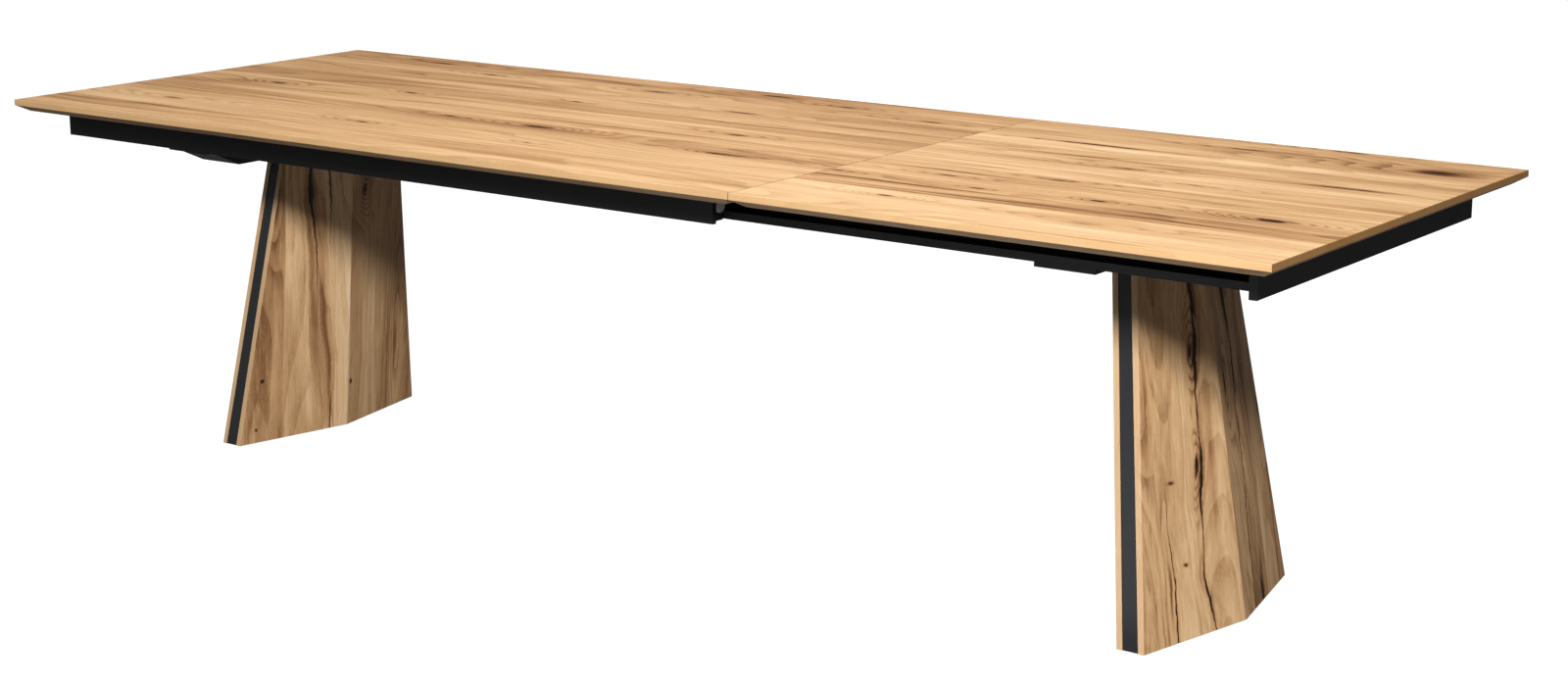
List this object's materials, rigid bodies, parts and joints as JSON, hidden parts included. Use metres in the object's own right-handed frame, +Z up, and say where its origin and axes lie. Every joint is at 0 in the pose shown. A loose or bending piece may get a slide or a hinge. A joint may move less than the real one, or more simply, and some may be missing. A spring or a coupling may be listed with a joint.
{
  "type": "extendable dining table",
  "caption": "Drawn-out oak dining table with one end leaf, a slim black telescopic frame and two leaning folded oak feet.",
  "frame": {"origin": "on the floor, under the middle of the drawn-out table", "axes": "+X along the table towards the end that pulls out, +Y across it, +Z up"},
  "size_m": [2.9, 1, 0.75],
  "materials": {
    "main_top_oak": "oiled oak boards, muted brown, fine grain, knots and short cracks",
    "leaf_oak": "oiled oak boards, a little brighter and more streaked than the main top",
    "foot_oak": "oiled oak with upright grain, brown streaks and dark filled cracks",
    "frame_black": "satin black powder coat, fine texture",
    "foot_black": "anthracite powder coat, satin",
    "guide_aluminium": "black anodised extrusion",
    "raw_steel": "primed steel, matt",
    "zinc_steel": "bright zinc plated fasteners",
    "cap_plastic": "moulded black plastic",
    "buffer_rubber": "grey rubber",
    "roller_plastic": "white acetal, lightly worn on the tread",
    "glide_plastic": "hard black plastic",
    "dowel_beech": "plain beech",
    "felt": "pressed black felt"
  },
  "bodies": {
    "main_frame": {"closing_buffers": "buffer_rubber", "fascia_screws": "zinc_steel", "front_roller_axles": "zinc_steel", "guide_end_caps": "cap_plastic", "left_corner_blocks": "frame_black", "left_corner_bolts": "zinc_steel", "left_crossbar": "frame_black", "left_crossbar_bolts": "zinc_steel", "left_end_beam": "frame_black", "left_foot_base_plate": "raw_steel", "left_foot_bolts": "zinc_steel", "left_foot_edge_bar_far": "foot_black", "left_foot_edge_bar_near": "foot_black", "left_foot_glides": "glide_plastic", "left_foot_inner_panel": "foot_oak", "left_foot_outer_panel": "foot_oak", "left_foot_post": "raw_steel", "left_foot_top_plate": "raw_steel", "left_spacer_beam": "frame_black", "main_top_panel": "main_top_oak", "main_top_screws": "zinc_steel", "main_top_stiffener_screws": "zinc_steel", "main_top_stiffeners": "raw_steel", "outer_fascia_far": "frame_black", "outer_fascia_near": "frame_black", "outer_guide_far": "guide_aluminium", "outer_guide_near": "guide_aluminium", "rail_glide_strips": "glide_plastic", "tie_bar": "frame_black", "tie_bar_bolts": "zinc_steel"},
    "carriage": {"inner_rail_near": "frame_black", "inner_rail_far": "frame_black", "right_end_beam": "frame_black", "right_corner_blocks": "frame_black", "right_corner_bolts": "zinc_steel", "right_crossbar": "frame_black", "right_crossbar_bolts": "zinc_steel", "right_crossbar_stiffener": "frame_black", "tail_cross_tube": "frame_black", "tail_roller_axles": "zinc_steel", "right_foot_base_plate": "raw_steel", "right_foot_bolts": "zinc_steel", "right_foot_edge_bar_far": "foot_black", "right_foot_edge_bar_near": "foot_black", "right_foot_glides": "glide_plastic", "right_foot_inner_panel": "foot_oak", "right_foot_outer_panel": "foot_oak", "right_foot_post": "raw_steel", "right_foot_top_plate": "raw_steel"},
    "leaf": {"leaf_dowels": "dowel_beech", "leaf_panel": "leaf_oak", "leaf_stiffener_screws": "zinc_steel", "leaf_stiffeners": "raw_steel", "leaf_support_pads": "felt"},
    "front_roller_near": {"front_roller_near": "roller_plastic"},
    "front_roller_far": {"front_roller_far": "roller_plastic"},
    "tail_roller_near": {"tail_roller_near": "roller_plastic"},
    "tail_roller_far": {"tail_roller_far": "roller_plastic"}
  },
  "joints": [
    {"name": "carriage_slide", "type": "slide", "parent": "main_frame", "child": "carriage", "axis": [1, 0, 0], "range_m": [-1.03, 0]},
    {"name": "leaf_pull", "type": "slide", "parent": "main_frame", "child": "leaf", "axis": [1, 0, 0], "range_m": [0, 0.05]},
    {"name": "front_roller_near_spin", "type": "hinge", "parent": "main_frame", "child": "front_roller_near", "pos_m": [0.3, -0.36, 0.70185], "axis": [0, 1, 0], "continuous": true},
    {"name": "tail_roller_near_spin", "type": "hinge", "parent": "carriage", "child": "tail_roller_near", "pos_m": [-0.3, -0.388, 0.7026], "axis": [0, 1, 0], "continuous": true},
    {"name": "front_roller_far_spin", "type": "hinge", "parent": "main_frame", "child": "front_roller_far", "pos_m": [0.3, 0.36, 0.70185], "axis": [0, 1, 0], "continuous": true},
    {"name": "tail_roller_far_spin", "type": "hinge", "parent": "carriage", "child": "tail_roller_far", "pos_m": [-0.3, 0.388, 0.7026], "axis": [0, 1, 0], "continuous": true}
  ],
  "couplings": [
    {"joint": "front_roller_near_spin", "follows": "carriage_slide", "rad_per_m": 59.347},
    {"joint": "tail_roller_near_spin", "follows": "carriage_slide", "rad_per_m": -52.356},
    {"joint": "front_roller_far_spin", "follows": "carriage_slide", "rad_per_m": 59.347},
    {"joint": "tail_roller_far_spin", "follows": "carriage_slide", "rad_per_m": -52.356}
  ]
}
